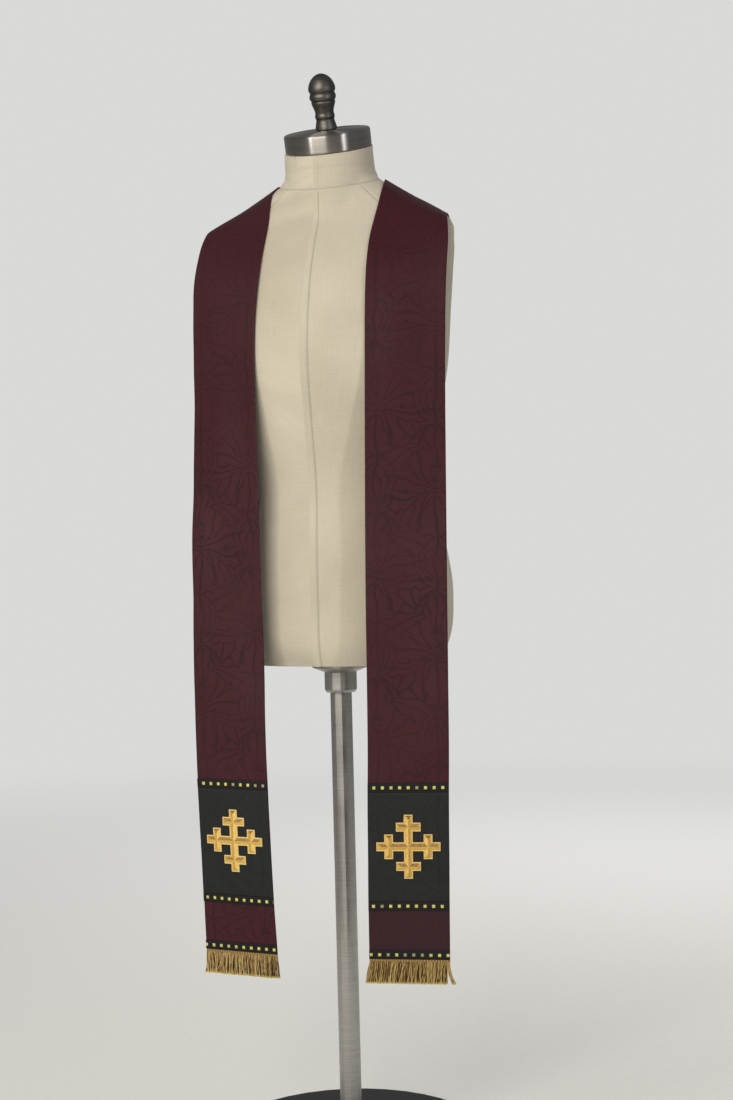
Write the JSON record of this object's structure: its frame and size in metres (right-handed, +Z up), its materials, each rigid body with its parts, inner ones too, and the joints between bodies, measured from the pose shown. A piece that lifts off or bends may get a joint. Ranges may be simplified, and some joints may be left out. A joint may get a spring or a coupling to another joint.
{
  "type": "clerical stole on a dress form",
  "caption": "Priest's stole of lined burgundy damask, worn open over a limbless dress form on a round-based stand, with black apron panels, gold crosses, chequered braid and cut fringe.",
  "frame": {"origin": "centre of the stand's round base, on the floor", "axes": "+Z up; the form faces -Y; +X is the wearer's left"},
  "size_m": [0.43, 0.43, 1.602],
  "materials": {
    "burgundy_damask": "tone-on-tone leaf damask, low sheen",
    "black_damask": "tone-on-tone leaf damask, low sheen",
    "chequered_braid": "black woven braid with a row of gold squares",
    "gold_embroidery": "padded satin stitch in gold rayon",
    "gold_fringe": "loose cut strands of antique gold rayon",
    "linen": "natural linen, plain weave, matt",
    "steel": "brushed",
    "pewter": "turned and darkened, satin",
    "iron": "black stove enamel"
  },
  "bodies": {
    "root": {"band_left": "burgundy_damask", "band_right": "burgundy_damask", "apron_panel_left": "black_damask", "apron_panel_right": "black_damask", "braid_top_left": "chequered_braid", "braid_mid_left": "chequered_braid", "braid_hem_left": "chequered_braid", "braid_top_right": "chequered_braid", "braid_mid_right": "chequered_braid", "braid_hem_right": "chequered_braid", "cross_left": "gold_embroidery", "cross_right": "gold_embroidery", "fringe_left": "gold_fringe", "fringe_right": "gold_fringe", "form_torso": "linen", "neck_cap": "steel", "finial": "pewter", "stand_collar": "steel", "stand_pole": "steel", "stand_base": "iron"}
  },
  "joints": []
}
